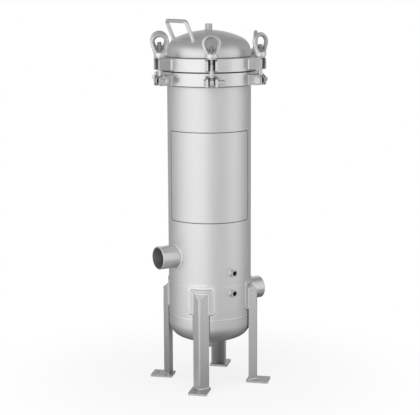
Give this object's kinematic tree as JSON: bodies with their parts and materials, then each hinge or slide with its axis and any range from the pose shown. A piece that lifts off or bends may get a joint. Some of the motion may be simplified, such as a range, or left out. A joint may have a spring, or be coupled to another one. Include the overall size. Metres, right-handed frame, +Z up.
{
  "type": "multi-cartridge filter housing",
  "caption": "Stainless steel filter housing on angle legs, with a dished swing bolt cover, side pipe stubs and cartridges inside.",
  "frame": {"origin": "on the floor under the vessel axis, in the middle of the anchor holes", "axes": "+Z up the vessel axis, +X the way the outlet points, -X the inlet, -Y the two small couplings"},
  "size_m": [0.331, 0.299, 0.9658],
  "materials": {
    "shell_steel": "bead blasted, satin",
    "ring_steel": "turned, fine circular lines",
    "leg_steel": "satin bar",
    "pad_steel": "satin sheet, heat tint at the welds",
    "lug_steel": "cast and blasted",
    "pipe_steel": "satin pipe, machined end",
    "fitting_steel": "turned",
    "handle_steel": "polished bar",
    "bolt_steel": "plain, threaded",
    "pin_steel": "turned",
    "washer_steel": "plain",
    "nut_steel": "precision cast, matt",
    "inner_steel": "plain",
    "seal_rubber": "matt black",
    "filter_sheet": "pleated felt",
    "cartridge_plastic": "moulded, matt"
  },
  "bodies": {
    "vessel": {"shell_upper": "shell_steel", "shell_lower": "shell_steel", "bottom_head": "shell_steel", "cover_head": "shell_steel", "body_flange": "ring_steel", "cover_flange": "ring_steel", "flange_o_ring": "seal_rubber", "tube_sheet": "inner_steel", "inlet_pipe": "pipe_steel", "outlet_pipe": "pipe_steel", "upper_port_coupling": "fitting_steel", "lower_port_coupling": "fitting_steel", "drain_coupling": "fitting_steel", "vent_coupling": "fitting_steel", "leg_front_left": "leg_steel", "leg_front_right": "leg_steel", "leg_rear_left": "leg_steel", "leg_rear_right": "leg_steel", "leg_caps": "leg_steel", "leg_pads": "pad_steel", "foot_plates": "leg_steel", "cover_lugs": "lug_steel", "clevis_lugs": "lug_steel", "clevis_pins": "pin_steel", "pin_washers": "washer_steel", "split_pins": "pin_steel", "handle": "handle_steel", "cartridge_adapters": "cartridge_plastic", "cartridge_o_rings": "seal_rubber", "cartridge_top_caps": "cartridge_plastic", "cartridge_cages": "cartridge_plastic", "cartridge_pleats": "filter_sheet", "cartridge_cores": "cartridge_plastic", "retaining_plate": "inner_steel", "tie_rod": "inner_steel", "tie_rod_washer": "inner_steel", "tie_rod_nut": "inner_steel"},
    "swing_bolt_1": {"swing_bolt_1": "bolt_steel"},
    "washer_1": {"washer_1": "washer_steel"},
    "eye_nut_1": {"eye_nut_1": "nut_steel"},
    "swing_bolt_2": {"swing_bolt_2": "bolt_steel"},
    "washer_2": {"washer_2": "washer_steel"},
    "eye_nut_2": {"eye_nut_2": "nut_steel"},
    "swing_bolt_3": {"swing_bolt_3": "bolt_steel"},
    "washer_3": {"washer_3": "washer_steel"},
    "eye_nut_3": {"eye_nut_3": "nut_steel"},
    "swing_bolt_4": {"swing_bolt_4": "bolt_steel"},
    "washer_4": {"washer_4": "washer_steel"},
    "eye_nut_4": {"eye_nut_4": "nut_steel"},
    "swing_bolt_5": {"swing_bolt_5": "bolt_steel"},
    "washer_5": {"washer_5": "washer_steel"},
    "eye_nut_5": {"eye_nut_5": "nut_steel"},
    "swing_bolt_6": {"swing_bolt_6": "bolt_steel"},
    "washer_6": {"washer_6": "washer_steel"},
    "eye_nut_6": {"eye_nut_6": "nut_steel"}
  },
  "joints": [
    {"name": "bolt_1_swing", "type": "hinge", "parent": "vessel", "child": "swing_bolt_1", "pos_m": [0.14755, 0, 0.81167], "axis": [0, 1, 0], "range_deg": [0, 180]},
    {"name": "washer_1_rise", "type": "slide", "parent": "swing_bolt_1", "child": "washer_1", "axis": [0, 0, 1], "range_m": [0, 0.02]},
    {"name": "eye_nut_1_turn", "type": "hinge", "parent": "washer_1", "child": "eye_nut_1", "pos_m": [0.14755, 0, 0.88287], "axis": [0, 0, 1], "range_deg": [0, 4104]},
    {"name": "bolt_2_swing", "type": "hinge", "parent": "vessel", "child": "swing_bolt_2", "pos_m": [0.07377, 0.12778, 0.81167], "axis": [-0.866, 0.5, 0], "range_deg": [0, 180]},
    {"name": "washer_2_rise", "type": "slide", "parent": "swing_bolt_2", "child": "washer_2", "axis": [0, 0, 1], "range_m": [0, 0.02]},
    {"name": "eye_nut_2_turn", "type": "hinge", "parent": "washer_2", "child": "eye_nut_2", "pos_m": [0.07377, 0.12778, 0.88287], "axis": [0, 0, 1], "range_deg": [0, 4104]},
    {"name": "bolt_3_swing", "type": "hinge", "parent": "vessel", "child": "swing_bolt_3", "pos_m": [-0.07377, 0.12778, 0.81167], "axis": [-0.866, -0.5, 0], "range_deg": [0, 180]},
    {"name": "washer_3_rise", "type": "slide", "parent": "swing_bolt_3", "child": "washer_3", "axis": [0, 0, 1], "range_m": [0, 0.02]},
    {"name": "eye_nut_3_turn", "type": "hinge", "parent": "washer_3", "child": "eye_nut_3", "pos_m": [-0.07377, 0.12778, 0.88287], "axis": [0, 0, 1], "range_deg": [0, 4104]},
    {"name": "bolt_4_swing", "type": "hinge", "parent": "vessel", "child": "swing_bolt_4", "pos_m": [-0.14755, 0, 0.81167], "axis": [0, -1, 0], "range_deg": [0, 180]},
    {"name": "washer_4_rise", "type": "slide", "parent": "swing_bolt_4", "child": "washer_4", "axis": [0, 0, 1], "range_m": [0, 0.02]},
    {"name": "eye_nut_4_turn", "type": "hinge", "parent": "washer_4", "child": "eye_nut_4", "pos_m": [-0.14755, 0, 0.88287], "axis": [0, 0, 1], "range_deg": [0, 4104]},
    {"name": "bolt_5_swing", "type": "hinge", "parent": "vessel", "child": "swing_bolt_5", "pos_m": [-0.07377, -0.12778, 0.81167], "axis": [0.866, -0.5, 0], "range_deg": [0, 180]},
    {"name": "washer_5_rise", "type": "slide", "parent": "swing_bolt_5", "child": "washer_5", "axis": [0, 0, 1], "range_m": [0, 0.02]},
    {"name": "eye_nut_5_turn", "type": "hinge", "parent": "washer_5", "child": "eye_nut_5", "pos_m": [-0.07377, -0.12778, 0.88287], "axis": [0, 0, 1], "range_deg": [0, 4104]},
    {"name": "bolt_6_swing", "type": "hinge", "parent": "vessel", "child": "swing_bolt_6", "pos_m": [0.07377, -0.12778, 0.81167], "axis": [0.866, 0.5, 0], "range_deg": [0, 180]},
    {"name": "washer_6_rise", "type": "slide", "parent": "swing_bolt_6", "child": "washer_6", "axis": [0, 0, 1], "range_m": [0, 0.02]},
    {"name": "eye_nut_6_turn", "type": "hinge", "parent": "washer_6", "child": "eye_nut_6", "pos_m": [0.07377, -0.12778, 0.88287], "axis": [0, 0, 1], "range_deg": [0, 4104]}
  ],
  "couplings": [
    {"joint": "washer_1_rise", "follows": "eye_nut_1_turn", "m_per_rad": 0.00027852},
    {"joint": "washer_2_rise", "follows": "eye_nut_2_turn", "m_per_rad": 0.00027852},
    {"joint": "washer_3_rise", "follows": "eye_nut_3_turn", "m_per_rad": 0.00027852},
    {"joint": "washer_4_rise", "follows": "eye_nut_4_turn", "m_per_rad": 0.00027852},
    {"joint": "washer_5_rise", "follows": "eye_nut_5_turn", "m_per_rad": 0.00027852},
    {"joint": "washer_6_rise", "follows": "eye_nut_6_turn", "m_per_rad": 0.00027852}
  ]
}
